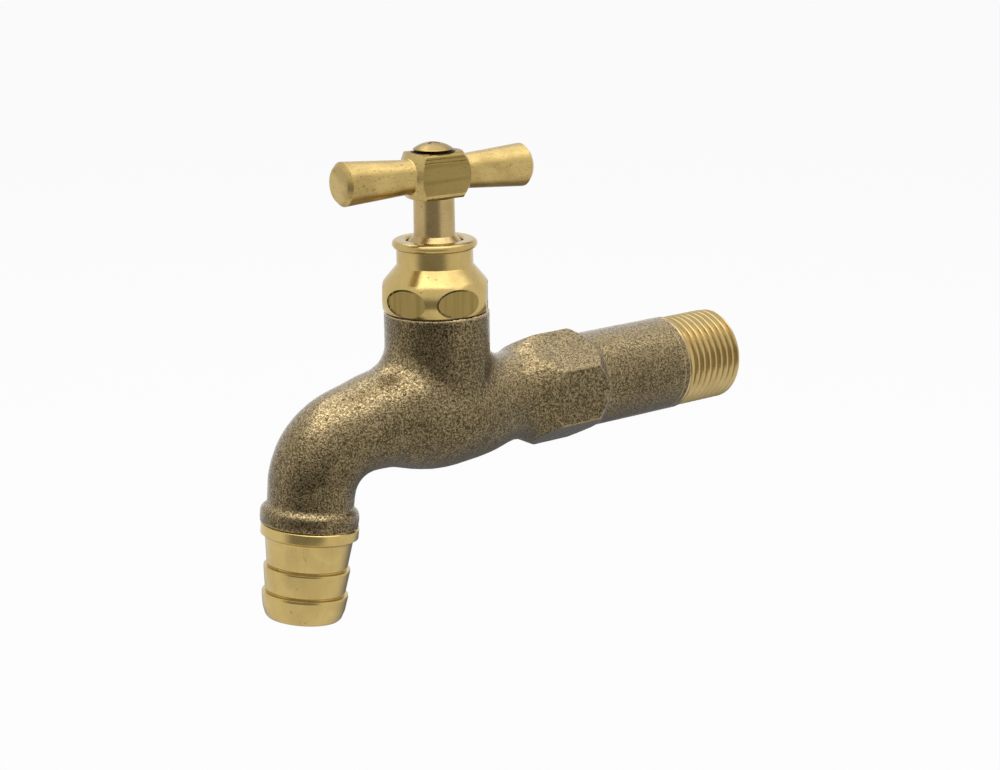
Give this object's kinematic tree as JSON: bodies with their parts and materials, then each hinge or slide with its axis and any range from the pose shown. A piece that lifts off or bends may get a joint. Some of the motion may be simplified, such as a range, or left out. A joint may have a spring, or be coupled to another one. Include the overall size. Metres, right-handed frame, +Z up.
{
  "type": "long-body tap",
  "caption": "Long-body wall tap with a T-handle, a rising stem, a downturned spout with a barbed hose nozzle, and a long threaded tail for a wall outlet.",
  "frame": {"origin": "on the inlet thread's axis, in its gauge plane, 8.2 mm in from the threaded end", "axes": "+X along the inlet and out of its threaded end; +Z up along the valve stem; the spout leans down toward -X and -Z"},
  "size_m": [0.1266, 0.0246, 0.0981],
  "materials": {
    "cast_brass": "sand-cast and shot-blasted, dull brown-gold",
    "turned_brass": "turned bright",
    "stem_brass": "turned bright, slightly redder alloy",
    "black_rubber": "moulded",
    "fibre": "dark vulcanised fibre"
  },
  "bodies": {
    "tap_body": {"body": "cast_brass", "bonnet": "turned_brass", "bonnet_gasket": "fibre", "hose_nozzle": "turned_brass", "nozzle_gasket": "black_rubber"},
    "valve_disc": {"jumper_valve": "stem_brass", "seat_washer": "black_rubber", "washer_nut": "stem_brass"},
    "spindle": {"stem": "stem_brass", "stem_oring_lower": "black_rubber", "stem_oring_upper": "black_rubber", "handle": "turned_brass", "handle_screw": "turned_brass"}
  },
  "joints": [
    {"name": "valve_lift", "type": "slide", "parent": "tap_body", "child": "valve_disc", "axis": [0, 0, 1], "range_m": [0, 0.005]},
    {"name": "handle_turn", "type": "hinge", "parent": "valve_disc", "child": "spindle", "pos_m": [-0.0736, 0, 0.0516], "axis": [0, 0, 1], "range_deg": [0, 900]}
  ],
  "couplings": [
    {"joint": "valve_lift", "follows": "handle_turn", "m_per_rad": 0.00031831}
  ]
}
